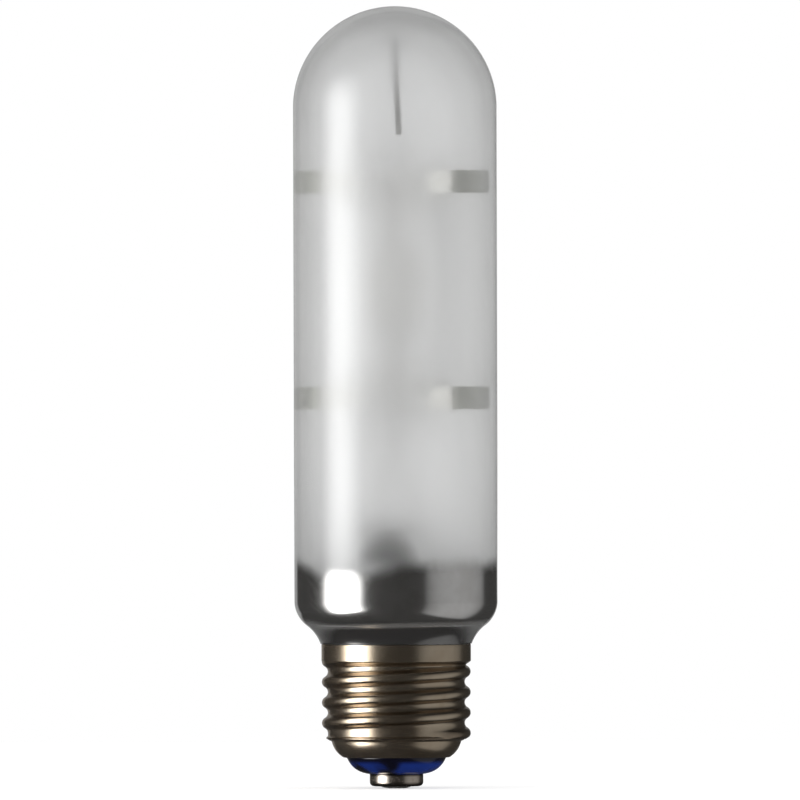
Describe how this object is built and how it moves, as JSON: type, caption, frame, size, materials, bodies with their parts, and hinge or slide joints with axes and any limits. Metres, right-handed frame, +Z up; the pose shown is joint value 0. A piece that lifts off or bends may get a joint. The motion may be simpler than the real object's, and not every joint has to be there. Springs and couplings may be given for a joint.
{
  "type": "metal halide bulb",
  "caption": "Tubular metal halide lamp: satin glass bulb with a rounded end, a shrouded ceramic arc tube on a wire frame inside, and an E26 screw cap with a blue glass insulator.",
  "frame": {"origin": "centre of the solder land at the bottom of the cap, where the lamp holder's centre spring touches", "axes": "+Z up the lamp axis towards the dome; -Y is the front that the picture shows; +X to the viewer's right"},
  "size_m": [0.036, 0.036, 0.1382],
  "materials": {
    "satin_glass": "satin, with a dark mirror film near the cap",
    "clear_glass": "clear",
    "quartz": "clear",
    "blue_glass": "gloss, opaque",
    "nickel_plate": "polished nickel plate",
    "contact_plate": "polished",
    "solder": "dull",
    "cement": "matte",
    "nickel_wire": "drawn",
    "spring_strip": "rolled",
    "electrode_metal": "drawn",
    "alumina": "translucent",
    "seal_frit": "glassy",
    "getter_metal": "dark"
  },
  "bodies": {
    "root": {"outer_bulb": "satin_glass", "screw_shell": "nickel_plate", "cap_insulator": "blue_glass", "centre_contact": "contact_plate", "contact_solder": "solder", "basing_cement": "cement", "stem_glass": "clear_glass", "exhaust_tube": "clear_glass", "stem_lead_left": "nickel_wire", "stem_lead_right": "nickel_wire", "contact_wire": "nickel_wire", "shell_wire": "nickel_wire", "shell_weld": "solder", "frame_wire": "nickel_wire", "upper_clip": "spring_strip", "lower_clip": "spring_strip", "shroud_tube": "quartz", "arc_tube": "alumina", "upper_electrode": "electrode_metal", "lower_electrode": "electrode_metal", "upper_seal": "seal_frit", "lower_seal": "seal_frit", "upper_feed": "nickel_wire", "lower_feed": "nickel_wire", "getter_ring": "getter_metal", "getter_stay": "nickel_wire"}
  },
  "joints": []
}
